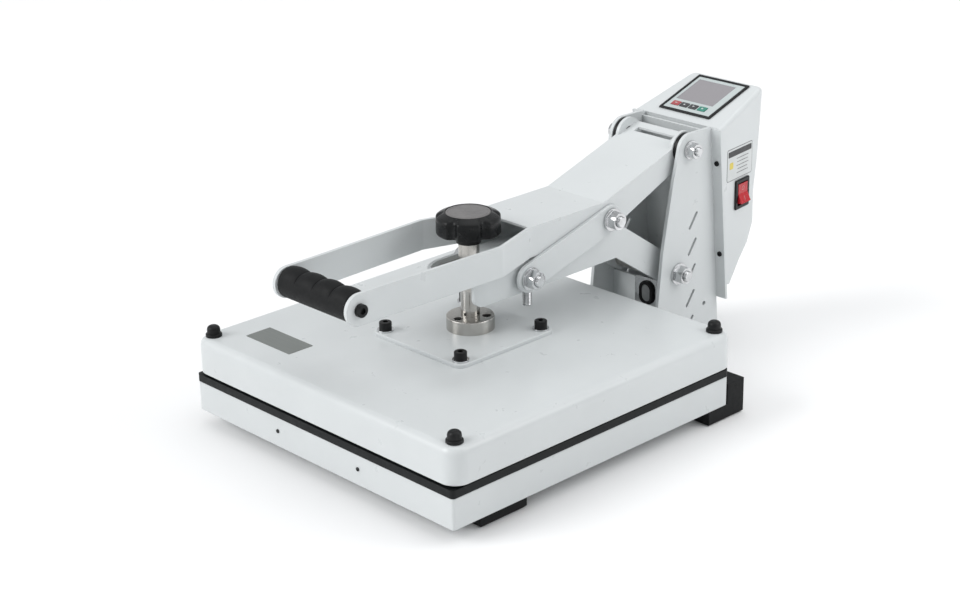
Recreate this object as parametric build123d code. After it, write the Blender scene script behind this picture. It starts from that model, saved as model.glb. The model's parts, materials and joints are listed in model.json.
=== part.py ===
from build123d import *

import os
from math import atan2, cos, degrees, dist, pi, radians, sin, tan

# Clamshell heat press, 15 x 15 inch class.  Millimetres.
#
# Working frame: X to the user's right, Y away from the user, Z up.  The floor is Z = 0 and the
# centre of the base tray is X = Y = 0.  Every node is moved by -MID_Y along Y as it is written,
# which puts the origin at the centre of the whole machine's footprint, on the floor.

# ---------------------------------------------------------------- driving dimensions
TRAY = 382.0                  # side of the square base tray
TRAY_H = 31.7
SHEET = 2.0                   # sheet steel of the tray
FOOT_H = 16.0
PAD_T = 8.2                   # silicone pad
COVER = 388.0                 # side of the upper platen's cover
COVER_H = 37.3
PLATEN_Y = 3.0                # the platen sits a little behind the tray's centre
SCREW_Y = 13.5                # axis of the pressure screw
REST_GAP = 0.3                # air between the closed heating plate and the pad

# Linkage pivots, as (Y, Z), with the press closed.
LEVER_PIVOT = (291.0, 235.0)  # lever on the column
LINK_PIVOT = (174.0, 185.5)   # link on the lever
ARM_PIVOT = (275.0, 99.0)     # arm on the column
TOE_PIVOT = (54.5, 153.0)     # link on the arm

# Layers of the linkage, as distances from the middle plane to each plate's outer face.
PLATE = 4.0
ARM_X = 36.0
LEVER_X = 40.5
LINK_X = 45.0
COLUMN_X = 50.0
FORK_X = 60.0                 # the lever's fork where it is widest, beside the knob
GRIP_X = 54.5                 # the lever's fork at the grip

BOLT_R = 6.0                  # M12 pivot bolts
TOP_BOLT_R = 5.0              # M10 rod at the top of the column
RUN = 0.05                    # radial clearance of a running fit
SCREW_R = 9.75

# ---------------------------------------------------------------- levels worked out from them
TRAY_TOP = FOOT_H + TRAY_H
PAD_TOP = TRAY_TOP + PAD_T
HEATER_Z = PAD_TOP + REST_GAP
HEATER_T = 14.0
COVER_Z = HEATER_Z + 2.5
COVER_TOP = COVER_Z + COVER_H
PRESS_PLATE_T = 4.0
PRESS_PLATE_TOP = COVER_TOP + PRESS_PLATE_T
HUB_H = 14.0
HUB_TOP = PRESS_PLATE_TOP + HUB_H
ARM_LOW = 136.0
ARM_HIGH = 167.0
LEVER_HIGH = 204.0
LEVER_LOW = 172.4
LEVER_MID = (LEVER_HIGH + LEVER_LOW) / 2
GRIP_Y = -176.0
GRIP_R = 17.5

# Column: its rear edge leans back towards the floor, and carries the control box.
COLUMN_FOOT = FOOT_H
COLUMN_TOP = 252.5
REAR_TOP_Y = 324.3
LEAN = radians(4.77)
FLANGE_X = 63.0
FLANGE_T = 3.0

# Control box: side outline as (Y, Z), and half widths in plan at its front and back.
BOX_FRONT_X = 62.0
BOX_BACK_X = 50.0
BOX_BACK_Y = 414.5
BOX_TOP_FRONT_Z = 251.5
BOX_TOP_BACK_Z = 280.5
BOX_FOOT_Z = 70.0
BOX_SKIN = 1.5
BOX_BACK_R = 9.0              # round of the box's two back corners
BOX_TOP_R = 4.5               # round of the edges of its top

FRONT_Y = GRIP_Y - GRIP_R
MID_Y = (FRONT_Y + BOX_BACK_Y) / 2


def rear_y(z):
    """Y of the column's rear edge at height z."""
    return REAR_TOP_Y + (COLUMN_TOP - z) * tan(LEAN)


BOX_FRONT_Y = rear_y(BOX_TOP_FRONT_Z) + FLANGE_T
PANEL_TILT = atan2(BOX_TOP_BACK_Z - BOX_TOP_FRONT_Z, BOX_BACK_Y - BOX_FRONT_Y)
WALL_TURN = atan2(BOX_FRONT_X - BOX_BACK_X, BOX_BACK_Y - BOX_FRONT_Y)


# ---------------------------------------------------------------- helpers
def write(node, *solids):
    """Write one node; several solids stay separate in the same file."""
    moved = [Pos(0, -MID_Y, 0) * solid for part in solids for solid in part.solids()]
    export_step(moved[0] if len(moved) == 1 else Compound(children=moved), f"parts/{node}.step")


def block(x, y, z):
    """A box between two values on each axis."""
    centre = Pos((x[0] + x[1]) / 2, (y[0] + y[1]) / 2, (z[0] + z[1]) / 2)
    return centre * Box(x[1] - x[0], y[1] - y[0], z[1] - z[0])


def rod(radius, x, at):
    """A cylinder along X between two X values, at a (Y, Z) point."""
    return Pos((x[0] + x[1]) / 2, *at) * Rot(0, 90, 0) * Cylinder(radius, abs(x[1] - x[0]))


def post(radius, at, z):
    """A cylinder along Z between two heights, at an (X, Y) point."""
    return Pos(*at, (z[0] + z[1]) / 2) * Cylinder(radius, z[1] - z[0])


def outline(points):
    """A face in the (Y, Z) side view."""
    return make_face(Polyline(*points, close=True))


def disc(at, radius):
    return Pos(*at) * Circle(radius)


def bar(start, end, radius):
    """A straight bar with round ends, as a side-view face."""
    middle = ((start[0] + end[0]) / 2, (start[1] + end[1]) / 2)
    turn = degrees(atan2(end[1] - start[1], end[0] - start[0]))
    return Pos(*middle) * Rot(0, 0, turn) * SlotCenterToCenter(dist(start, end), 2 * radius)


def side_plate(face, x):
    """Extrude a side-view face between two X values."""
    return extrude(Plane.YZ.offset(x[0]) * face, amount=x[1] - x[0])


def plan_plate(points, z):
    """Extrude an (X, Y) outline between two heights."""
    return Pos(0, 0, z[0]) * extrude(make_face(Polyline(*points, close=True)), amount=z[1] - z[0])


def mirrored(part):
    return mirror(part, about=Plane.YZ)


def both_sides(part):
    return [part, mirrored(part)]


def rounded_block(width, depth, z, radius, y=0.0):
    """A square-cornered plate with round vertical edges."""
    face = Pos(0, y, z[0]) * RectangleRounded(width, depth, radius)
    return extrude(face, amount=z[1] - z[0])


def washer(at, x, radius, bore, thick):
    return rod(radius, (x, x + thick), at) - rod(bore, (x - 1, x + thick + 1), at)


def hex_nut(at, x, across, bore, thick):
    """A hexagon nut whose inner face is at x, with chamfered corners."""
    face = Pos(x, *at) * Rot(0, 90, 0) * extrude(RegularPolygon(across / 2, 6, major_radius=False), thick)
    dome = Pos(x, *at) * Rot(0, 90, 0) * Cone(across * 0.64, across * 0.5, thick * 1.02,
                                             align=(Align.CENTER, Align.CENTER, Align.MIN))
    return (face & dome) - rod(bore, (x - 1, x + thick + 1), at)


def socket_screw(at, z, head_r, head_h, shank_r, shank_l):
    """A socket head cap screw standing on height z."""
    head = post(head_r, at, (z, z + head_h))
    head = fillet(head.edges().sort_by(Axis.Z)[-1], head_h * 0.12)
    key = Pos(*at, z + head_h * 0.45) * extrude(RegularPolygon(head_r * 0.48, 6), head_h)
    return head - key + post(shank_r, at, (z - shank_l, z))


# ---------------------------------------------------------------- base
LIP = 30.0                    # inward lip around the tray's underside
TRAY_SCREWS = ((-61.3, 32.8), (59.5, 32.8))    # (X, Z) on the front face
TRAY_SCREW_R = 2.0
RAIL_X = (24.0, 48.0)
BASE_BOLT_X = sum(RAIL_X) / 2
BASE_PLATE_T = 5.0
BASE_PLATE_X = 52.0
BASE_PLATE_Y = (-150.0, 346.0)
BASE_BOLT_YS = (-120.0, 0.0, 120.0)


def base_tray():
    half = TRAY / 2
    shell = rounded_block(TRAY, TRAY, (FOOT_H, TRAY_TOP), 3.0)
    shell = fillet(shell.edges().group_by(Axis.Z)[-1], 1.5)
    inside = half - SHEET
    shell -= block((-inside, inside), (-inside, inside), (FOOT_H + SHEET, TRAY_TOP - SHEET))
    mouth = half - LIP
    shell -= block((-mouth, mouth), (-mouth, mouth), (FOOT_H - 1, FOOT_H + SHEET + 1))
    for x, z in TRAY_SCREWS:
        shell -= Pos(x, -half, z) * Rot(90, 0, 0) * Cylinder(1.3, 4 * SHEET)
    return shell


def tray_screws():
    """Two small pan-head screws in the tray's front face."""
    screws = []
    for x, z in TRAY_SCREWS:
        turn = Pos(x, -TRAY / 2 - 0.9, z) * Rot(-90, 0, 0)
        head = turn * Cylinder(TRAY_SCREW_R, 0.9, align=(Align.CENTER, Align.CENTER, Align.MIN))
        shank = turn * Cylinder(1.2, 10, align=(Align.CENTER, Align.CENTER, Align.MIN))
        screws.append(head + shank)
    return screws


def base_rail():
    """Box channel that carries the pressing force under the tray's top."""
    y = (LIP + 0.5 - TRAY / 2, TRAY / 2 - LIP - 0.5)
    wall = 2.5
    tube = block(RAIL_X, y, (FOOT_H, TRAY_TOP - SHEET))
    tube -= block((RAIL_X[0] + wall, RAIL_X[1] - wall), (y[0] - 1, y[1] + 1),
                  (FOOT_H + wall, TRAY_TOP - SHEET - wall))
    for bolt_y in BASE_BOLT_YS:
        tube -= post(3.1, (BASE_BOLT_X, bolt_y), (FOOT_H - 1, FOOT_H + 4))
    return tube


def base_plate():
    plate = rounded_block(2 * BASE_PLATE_X, BASE_PLATE_Y[1] - BASE_PLATE_Y[0],
                          (FOOT_H - BASE_PLATE_T, FOOT_H), 10.0, sum(BASE_PLATE_Y) / 2)
    for x in (-BASE_BOLT_X, BASE_BOLT_X):
        for y in BASE_BOLT_YS:
            plate -= post(3.1, (x, y), (FOOT_H - BASE_PLATE_T - 1, FOOT_H + 1))
    for at in column_bolt_points():
        plate -= post(4.1, at, (FOOT_H - BASE_PLATE_T - 1, FOOT_H + 1))
    return plate


def base_plate_bolts():
    """Six pan-head bolts up through the base plate into the rails."""
    low = FOOT_H - BASE_PLATE_T
    return [post(5.5, (x, y), (low - 3.5, low)) + post(3.0, (x, y), (low, FOOT_H + 2.5))
            for x in (-BASE_BOLT_X, BASE_BOLT_X) for y in BASE_BOLT_YS]


def feet_front():
    feet = []
    for side in (-1, 1):
        x = sorted((side * 160.0, side * 183.0))
        foot = block(x, (-150.0, -90.0), (0.0, FOOT_H))
        feet.append(chamfer(foot.edges().group_by(Axis.Z)[0], 2.0))
    return feet


def feet_rear():
    """Rear feet: each turns up behind the tray as a bumper."""
    feet = []
    for side in (-1, 1):
        x = sorted((side * 169.0, side * 191.0))
        foot = block(x, (163.0, 217.0), (0.0, FOOT_H))
        foot += block(x, (TRAY / 2 + REST_GAP, 217.0), (FOOT_H, 38.0))
        feet.append(chamfer(foot.edges().group_by(Axis.Z)[0], 1.5))
    return feet


def column_feet():
    return [post(14.0, (x, 325.0), (0.0, FOOT_H - BASE_PLATE_T)) for x in (-34.0, 34.0)]


def silicone_pad():
    return rounded_block(383.0, 383.0, (TRAY_TOP, PAD_TOP), 4.0)


# ---------------------------------------------------------------- column
COLUMN_FLANGE = 22.0          # inward flange on the base plate
SLOT_COUNT = 5
SLOT_PITCH = 29.8
SLOT_TOP = (298.5, 153.5)
SLOT_L = 18.5
SLOT_W = 3.5
GLAND_AT = (5.5, 65.0)        # (X, Z) of the heater lead's gland in the front web


def column_bolt_points():
    return [(x, y) for x in (-36.0, 36.0) for y in (258.0, 318.0)]


def column_face():
    """Side view of a column plate."""
    top_r = 18.0
    y, z = LEVER_PIVOT
    face = outline([
        (237.0, COLUMN_FOOT), (250.0, 128.8), (264.6, 202.0), (y - top_r * 0.97, z + 4.0),
        (y - top_r * 0.6, z + top_r * 0.8), (y, z + top_r), (REAR_TOP_Y, COLUMN_TOP),
        (rear_y(COLUMN_FOOT), COLUMN_FOOT)])
    face += disc(LEVER_PIVOT, top_r)
    for step in range(SLOT_COUNT):
        at = (SLOT_TOP[0] - 0.8 * step, SLOT_TOP[1] - SLOT_PITCH * step)
        face -= Pos(*at) * Rot(0, 0, 54) * SlotCenterToCenter(SLOT_L, SLOT_W)
    face -= disc((319.6, 51.8), 2.5)
    face -= disc(LEVER_PIVOT, TOP_BOLT_R + 0.02)
    face -= disc(ARM_PIVOT, BOLT_R + 0.02)
    return face


def rear_strip(z, thick, ahead=0.0):
    """Side-view strip that follows the column's rear edge, from it backwards."""
    low, high = z
    return outline([(rear_y(low) - ahead, low), (rear_y(low) - ahead + thick, low),
                    (rear_y(high) - ahead + thick, high), (rear_y(high) - ahead, high)])


def column_side():
    plate = side_plate(column_face(), (COLUMN_X - PLATE, COLUMN_X))
    flange = side_plate(rear_strip((54.0, 251.0), FLANGE_T), (COLUMN_X - PLATE, FLANGE_X))
    for z in FLANGE_SCREW_ZS:
        flange -= flange_hole(FLANGE_SCREW_X, z)
    foot = block((COLUMN_X - PLATE - COLUMN_FLANGE, COLUMN_X - PLATE),
                 (240.0, 336.0), (COLUMN_FOOT, COLUMN_FOOT + PLATE))
    for at in column_bolt_points():
        foot -= post(4.1, at, (COLUMN_FOOT - 1, COLUMN_FOOT + PLATE + 1))
    return plate + flange + foot


FLANGE_SCREW_ZS = (212.5, 107.0)
FLANGE_SCREW_X = 57.0
FLANGE_SCREW_R = 1.5


def flange_hole(x, z):
    turn = Rot(degrees(LEAN) - 90, 0, 0)
    return Pos(x, rear_y(z), z) * turn * Cylinder(FLANGE_SCREW_R + 0.05, 20)


def flange_screws():
    """Four screws that hold the control box on the column's flanges."""
    screws = []
    base = (Align.CENTER, Align.CENTER, Align.MIN)
    for x in (-FLANGE_SCREW_X, FLANGE_SCREW_X):
        for z in FLANGE_SCREW_ZS:
            place = Pos(x, rear_y(z), z) * Rot(degrees(LEAN) - 90, 0, 0)
            screw = place * Pos(0, 0, -1.6) * Cylinder(2.8, 1.6, align=base)
            screw -= place * Pos(0, 0, -1.7) * extrude(RegularPolygon(1.4, 6), 1.1)
            screw += place * Cylinder(FLANGE_SCREW_R, FLANGE_T + BOX_SKIN, align=base)
            screws.append(screw)
    return screws


def column_back():
    """Plate between the two column sides, along their rear edges."""
    low = COLUMN_FOOT + PLATE
    inner = COLUMN_X - PLATE
    plate = side_plate(rear_strip((low, 248.0), 3.0, 3.0), (-inner, inner))
    plate -= block((-14.0, 14.0), (300.0, 360.0), (110.0, 134.0))
    return plate


def column_front_web():
    """Low plate between the column sides, in front, with the heater lead's gland."""
    inner = COLUMN_X - PLATE
    x, z = GLAND_AT
    web = block((-inner, inner), (277.0, 280.0), (COLUMN_FOOT + PLATE, 79.0))
    return web - Pos(x, 278.5, z) * Rot(90, 0, 0) * Cylinder(9.0, 12.0)


def cable_gland():
    """Black oval boot that closes the hole in the front web, with a recessed face."""
    x, z = GLAND_AT
    place = Pos(x, 277.0, z) * Rot(90, 0, 0)
    collar = place * extrude(RectangleRounded(20.0, 27.0, 9.5), 5.0)
    collar = fillet(collar.edges().group_by(Axis.Y)[0], 1.5)
    collar -= place * Pos(0, 0, 2.5) * extrude(RectangleRounded(13.0, 20.0, 6.2), 5.0)
    barrel = Pos(x, 277.0, z) * Rot(-90, 0, 0) * extrude(Circle(8.9), 10.0)
    return collar + barrel


def gland_plate():
    """Bright plate that clamps the boot against the web."""
    x, z = GLAND_AT
    place = Pos(x, 277.0, z) * Rot(90, 0, 0)
    frame = place * extrude(RectangleRounded(36.0, 34.0, 5.0), 1.6)
    frame -= place * Pos(0, 0, -1) * extrude(RectangleRounded(20.4, 27.4, 9.7), 4.0)
    return frame


def column_bolts():
    heads = []
    for at in column_bolt_points():
        head = Pos(*at, COLUMN_FOOT + PLATE) * extrude(RegularPolygon(6.5, 6, major_radius=False), 5.5)
        heads.append(head + post(4.0, at, (FOOT_H - BASE_PLATE_T, COLUMN_FOOT + PLATE)))
    return heads


# ---------------------------------------------------------------- pivot hardware
WASHER_R = 12.0
WASHER_T = 2.5
NUT_AF = 18.0
NUT_T = 10.0
TOP_WASHER_R = 10.0
TOP_NUT_AF = 16.0
TOP_NUT_T = 8.5
THREAD_END = 3.0


def through_pin(at, radius, face_x, nut_t):
    """A bolt shank that runs across the machine and ends past both nuts."""
    end = face_x + WASHER_T + nut_t + THREAD_END
    pin = rod(radius, (-end, end), at)
    return chamfer(pin.edges().group_by(Axis.X)[0] + pin.edges().group_by(Axis.X)[-1], 1.0)


def pivot_washers(at, face_x, radius, bore):
    return both_sides(washer(at, face_x, radius, bore + 0.02, WASHER_T))


def pivot_nuts(at, face_x, across, bore, thick):
    return both_sides(hex_nut(at, face_x + WASHER_T, across, bore + 0.02, thick))


# ---------------------------------------------------------------- arm
ARM_NOSE_Y = 5.0              # centre of the round nose in plan
ARM_BEND_Y = 203.5
ARM_END_R = 15.5
LEVEL_AT = (24.0, 70.5)
LEVEL_R = 5.25
LEVEL_LOW = 114.5
NUT_BLOCK_Y = (SCREW_Y - 16.0, SCREW_Y + 16.0)
NUT_BLOCK_Z = (146.0, 162.0)
NOSE_LOW = 159.0              # the nose is a shallow ring; the plates' lower corners end behind it
NOSE_BACK_Y = -10.6
NOSE_CORNER = 8.0
ARM_TOP_Y = 45.0              # the channel is closed on top from here back
ARM_TOP_LOW = ARM_HIGH - PLATE


def arm_face():
    """Side view of an arm plate: level in front, then down to its pivot."""
    y, z = ARM_PIVOT
    fall = atan2(ARM_HIGH - 111.9, 283.6 - ARM_BEND_Y)
    up = (ARM_END_R * sin(fall), ARM_END_R * cos(fall))
    face = outline([
        (ARM_NOSE_Y, ARM_LOW), (ARM_NOSE_Y, ARM_HIGH), (ARM_BEND_Y, ARM_HIGH),
        (y + up[0], z + up[1]), (y - up[0], z - up[1]), (191.5, ARM_LOW)])
    face += disc(ARM_PIVOT, ARM_END_R)
    face -= disc(ARM_PIVOT, 11.0 + 0.02)
    face -= disc(TOE_PIVOT, 9.0 + 0.02)
    return face


def arm_nose():
    """Half ring in plan that joins the two plates in front of the screw, shallow at its tip."""
    at = (0.0, ARM_NOSE_Y)
    tall = (ARM_LOW, ARM_HIGH)
    ring = post(ARM_X, at, tall) - post(ARM_X - PLATE, at, (ARM_LOW - 1, ARM_HIGH + 1))
    ring &= block((-ARM_X, ARM_X), (ARM_NOSE_Y - ARM_X, ARM_NOSE_Y), tall)
    corner = (NOSE_BACK_Y + NOSE_CORNER, ARM_LOW + NOSE_CORNER)
    under = outline([(-60.0, ARM_LOW - 1), (corner[0], ARM_LOW - 1), corner,
                     (NOSE_BACK_Y, corner[1]), (NOSE_BACK_Y, NOSE_LOW), (-60.0, NOSE_LOW)])
    return ring - side_plate(under - disc(corner, NOSE_CORNER), (-ARM_X - 1, ARM_X + 1))


def arm_frame():
    """Welded channel: two plates, a round nose, and webs under and over it behind the screw."""
    plate = side_plate(arm_face(), (ARM_X - PLATE, ARM_X))
    inner = ARM_X - PLATE
    web = block((-inner, inner), (SCREW_Y + 16.0, 188.0), (ARM_LOW, ARM_LOW + PLATE))
    for x in (-LEVEL_AT[0], LEVEL_AT[0]):
        web -= post(LEVEL_R + 0.02, (x, LEVEL_AT[1]), (ARM_LOW - 1, ARM_LOW + PLATE + 1))
    top = block((-inner, inner), (ARM_TOP_Y, ARM_BEND_Y), (ARM_TOP_LOW, ARM_HIGH))
    return plate + mirrored(plate) + web + top + arm_nose()


def screw_nut_block():
    """Threaded block between the arm's plates that the pressure screw runs in."""
    inner = ARM_X - PLATE
    low, high = NUT_BLOCK_Z
    nut = block((-inner, inner), (ARM_NOSE_Y, NUT_BLOCK_Y[1]), NUT_BLOCK_Z)
    nut += post(inner, (0.0, ARM_NOSE_Y), NUT_BLOCK_Z) & block((-inner, inner), (NUT_BLOCK_Y[0], ARM_NOSE_Y),
                                                               NUT_BLOCK_Z)
    return nut - post(SCREW_R + RUN, (0.0, SCREW_Y), (low - 1, high + 1))


def levelling_bolts():
    """Two stop bolts that hang from the arm's web, each with a thin lock nut."""
    bolts = []
    web_top = ARM_LOW + PLATE
    for x in (-LEVEL_AT[0], LEVEL_AT[0]):
        at = (x, LEVEL_AT[1])
        shank = post(LEVEL_R, at, (LEVEL_LOW, web_top + 4.0))
        shank = chamfer(shank.edges().group_by(Axis.Z)[0], 0.8)
        bolts.append(shank + Pos(*at, web_top) * extrude(RegularPolygon(7.5, 6), 3.5))
    return bolts


def arm_pivot_bush():
    half = COLUMN_X - PLATE - 0.4
    return rod(11.0, (-half, half), ARM_PIVOT) - rod(BOLT_R + RUN, (-half - 1, half + 1), ARM_PIVOT)


def arm_toe_bush():
    """Tube in the arm's toe that the link bolts turn in."""
    return rod(9.0, (-ARM_X, ARM_X), TOE_PIVOT) - rod(BOLT_R + 0.1, (-ARM_X - 1, ARM_X + 1), TOE_PIVOT)


# ---------------------------------------------------------------- lever
EAR_R = 18.5
WEB_T = 2.5
WEB_FRONT_Y = 60.0
WEB_BEND_Y = 167.0
WEB_REAR = (303.0, 247.3)
JOG_REAR_Y = 60.0
JOG_FRONT_Y = 2.0
SIGHT_SLOT_X = 26.0
SPACER_R = 17.0               # flange of the bush between the lever's ear and the column
LEVER_UNDER = 15.0            # how far the lever's lower edge is below the line of its pivots


def lever_face():
    """Side view of a lever plate, from the ear round its pivot to the round end at the grip."""
    (ear_y, ear_z), (mid_y, mid_z) = LEVER_PIVOT, LINK_PIVOT
    rise = atan2(ear_z - mid_z, ear_y - mid_y)
    down = (LEVER_UNDER * sin(rise), -LEVER_UNDER * cos(rise))
    top_slope = (WEB_REAR[1] - LEVER_HIGH) / (WEB_REAR[0] - WEB_BEND_Y)
    near_ear = ear_y - 12.0
    face = outline([
        (GRIP_Y, LEVER_LOW), (GRIP_Y, LEVER_HIGH), (WEB_BEND_Y, LEVER_HIGH),
        (near_ear, LEVER_HIGH + top_slope * (near_ear - WEB_BEND_Y)), (ear_y, ear_z + 5.0),
        (ear_y + down[0], ear_z + down[1]), (mid_y + down[0], mid_z + down[1]),
        (mid_y - 14.0, LEVER_LOW)])
    face += disc((GRIP_Y, LEVER_MID), (LEVER_HIGH - LEVER_LOW) / 2)
    face += disc(LEVER_PIVOT, EAR_R)
    face -= disc(LEVER_PIVOT, 9.0 + 0.02)
    face -= disc(LINK_PIVOT, BOLT_R + 0.02)
    face -= disc((GRIP_Y, LEVER_MID), 4.02)
    return face


def lever_ribbon():
    """Plan view of the right-hand lever plate: it steps out round the knob, then back in."""
    rear = LEVER_PIVOT[0] + EAR_R + 1.0
    front = GRIP_Y - 20.0
    outer = [(LEVER_X, rear), (LEVER_X, JOG_REAR_Y), (FORK_X, JOG_FRONT_Y), (GRIP_X, GRIP_Y + 30.0),
             (GRIP_X, front)]
    inner = [(x - PLATE, y) for x, y in reversed(outer)]
    ribbon = plan_plate(outer + inner, (LEVER_LOW - 10.0, COLUMN_TOP + 10.0))
    bends = [edge for edge in ribbon.edges().filter_by(Axis.Z)
             if front + 1.0 < edge.center().Y < rear - 1.0]
    return fillet(bends, 9.0)


def lever_side():
    return lever_ribbon() & side_plate(lever_face(), (0.0, FORK_X + 10.0))


def lever_web():
    """Top of the channel, from ahead of the crease to behind the pivot rod."""
    slope = atan2(WEB_REAR[1] - LEVER_HIGH, WEB_REAR[0] - WEB_BEND_Y)
    drop = WEB_T / cos(slope)
    face = outline([
        (WEB_FRONT_Y, LEVER_HIGH), (WEB_BEND_Y, LEVER_HIGH), WEB_REAR,
        (WEB_REAR[0], WEB_REAR[1] - drop), (WEB_BEND_Y, LEVER_HIGH - WEB_T),
        (WEB_FRONT_Y, LEVER_HIGH - WEB_T)])
    inner = LEVER_X - PLATE
    web = side_plate(face, (-inner, inner))
    y, z = LEVER_PIVOT
    return web - block((-SIGHT_SLOT_X, SIGHT_SLOT_X), (y - 5.0, y + 3.0), (z, z + 20.0))


def lever_frame():
    side = lever_side()
    return side + mirrored(side) + lever_web()


def lever_bushes():
    """Flanged bushes in the lever's two ears, which also space it from the column."""
    x = (LEVER_X - PLATE, COLUMN_X - PLATE - 0.4)
    bush = rod(9.0, x, LEVER_PIVOT) + rod(SPACER_R, (LEVER_X, x[1]), LEVER_PIVOT)
    return both_sides(bush - rod(TOP_BOLT_R + RUN, (x[0] - 1, x[1] + 1), LEVER_PIVOT))


def handle_rod():
    half = GRIP_X - PLATE
    return rod(8.0, (-half, half), (GRIP_Y, LEVER_MID)) - rod(4.0, (-half - 1, half + 1), (GRIP_Y, LEVER_MID))


def handle_grip():
    """Rubber sleeve with four finger swells along its upper side."""
    half = GRIP_X - PLATE - 0.2
    core_r = GRIP_R - 1.5
    at = (GRIP_Y, LEVER_MID)
    grip = rod(core_r, (-half, half), at)
    grip = fillet(grip.edges().group_by(Axis.X)[0] + grip.edges().group_by(Axis.X)[-1], 2.0)
    pitch = 2 * half / 4
    for finger in range(4):
        middle = -half + pitch * (finger + 0.5)
        reach = (middle - pitch * 0.42, middle + pitch * 0.42)
        swell = rod(core_r - 1.0, reach, (GRIP_Y + 1.2, LEVER_MID + 2.5))
        swell = fillet(swell.edges().group_by(Axis.X)[0] + swell.edges().group_by(Axis.X)[-1], 4.0)
        grip += swell
    return grip - rod(8.02, (-half - 1, half + 1), at)


def handle_screws():
    """Black socket screws that hold the handle rod between the fork's ends."""
    at = (GRIP_Y, LEVER_MID)
    head = rod(6.5, (GRIP_X, GRIP_X + 5.0), at)
    head = fillet(head.edges().group_by(Axis.X)[-1], 1.0)
    socket = Pos(GRIP_X + 2.4, *at) * Rot(0, 90, 0) * extrude(RegularPolygon(3.4, 6), 4.0)
    screw = head - socket + rod(3.95, (GRIP_X - PLATE - 22.0, GRIP_X), at)
    return both_sides(screw)


# ---------------------------------------------------------------- links
def link_plate():
    face = bar(LINK_PIVOT, TOE_PIVOT, 15.0)
    face -= disc(LINK_PIVOT, BOLT_R + RUN)
    face -= disc(TOE_PIVOT, BOLT_R + 0.02)
    plate = side_plate(face, (LINK_X - PLATE, LINK_X))
    return chamfer(plate.edges().group_by(Axis.X)[-1].filter_by(GeomType.LINE), 0.4)


def toe_bolts():
    """Toe bolts: each stops just short of the arm plate beside its link."""
    end = LINK_X + WASHER_T + NUT_T + THREAD_END
    bolt = rod(BOLT_R, (ARM_X + REST_GAP, end), TOE_PIVOT)
    return both_sides(chamfer(bolt.edges().group_by(Axis.X)[-1], 1.0))


# ---------------------------------------------------------------- platen
STUD_INSET = 15.0
PRESS_PLATE = 132.0
PRESS_BOLT = 55.5
HUB_R = 24.7
HUB_SCREW_R = 17.0
HUB_SCREW_TURNS = (-88.5, 31.5, 151.5)
DOME_H = 11.5
DOME_FLANGE_H = 3.2
COVER_SKIN = 1.5


def stud_points():
    reach = COVER / 2 - STUD_INSET
    return [(x, PLATEN_Y + y) for x in (-reach, reach) for y in (-reach, reach)]


def press_bolt_points():
    return [(x, PLATEN_Y + y) for x in (-PRESS_BOLT, PRESS_BOLT) for y in (-PRESS_BOLT, PRESS_BOLT)]


def hub_screw_points():
    return [(HUB_SCREW_R * cos(radians(turn)), SCREW_Y + HUB_SCREW_R * sin(radians(turn)))
            for turn in HUB_SCREW_TURNS]


def platen_cover():
    cover = rounded_block(COVER, COVER, (COVER_Z, COVER_TOP), 17.0, PLATEN_Y)
    cover = fillet(cover.edges().group_by(Axis.Z)[-1], 9.0)
    side = COVER - 2 * COVER_SKIN
    hollow = rounded_block(side, side, (COVER_Z - 1, COVER_TOP - COVER_SKIN), 15.5, PLATEN_Y)
    cover -= fillet(hollow.edges().group_by(Axis.Z)[-1], 7.5)
    for at in stud_points():
        cover -= post(3.1, at, (COVER_Z, COVER_TOP + 1))
    for at in press_bolt_points():
        cover -= post(4.1, at, (COVER_Z, COVER_TOP + 1))
    return cover


def heating_plate():
    """Cast plate with the element inside, coated on its underside."""
    plate = rounded_block(COVER - 8.0, COVER - 8.0, (HEATER_Z, HEATER_Z + HEATER_T), 13.0, PLATEN_Y)
    plate = fillet(plate.edges().group_by(Axis.Z)[0], 1.2)
    for at in press_bolt_points():
        plate -= post(4.02, at, (HEATER_Z + 4.0, HEATER_Z + HEATER_T + 1))
    for at in stud_points():
        plate -= post(3.02, at, (HEATER_Z + 4.0, HEATER_Z + HEATER_T + 1))
    return plate


def insulation_blanket():
    low = HEATER_Z + HEATER_T + 0.5
    high = COVER_TOP - COVER_SKIN - 0.5
    blanket = rounded_block(COVER - 26.0, COVER - 26.0, (low, high), 12.0, PLATEN_Y)
    for at in stud_points():
        blanket -= post(9.0, at, (low - 1, high + 1))
    for at in press_bolt_points():
        blanket -= post(11.0, at, (low - 1, high + 1))
    return blanket


def platen_spacers():
    """Tubes that hold the pressure plate off the heating plate, round its four bolts."""
    low = HEATER_Z + HEATER_T
    high = COVER_TOP - COVER_SKIN
    return [post(9.0, at, (low, high)) - post(4.1, at, (low - 1, high + 1))
            for at in press_bolt_points()]


def cover_studs():
    low = HEATER_Z + 4.0
    return [post(3.0, at, (low, COVER_TOP + 3.0)) for at in stud_points()]


def dome_nuts():
    """Black cap nuts on the cover's four corners."""
    nuts = []
    for at in stud_points():
        flange = post(8.4, at, (COVER_TOP, COVER_TOP + DOME_FLANGE_H))
        flange = fillet(flange.edges().sort_by(Axis.Z)[-1], 1.2)
        dome = post(6.8, at, (COVER_TOP, COVER_TOP + DOME_H))
        dome = fillet(dome.edges().sort_by(Axis.Z)[-1], 4.5)
        nuts.append(flange + dome - post(3.02, at, (COVER_TOP - 1, COVER_TOP + 3.1)))
    return nuts


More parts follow.
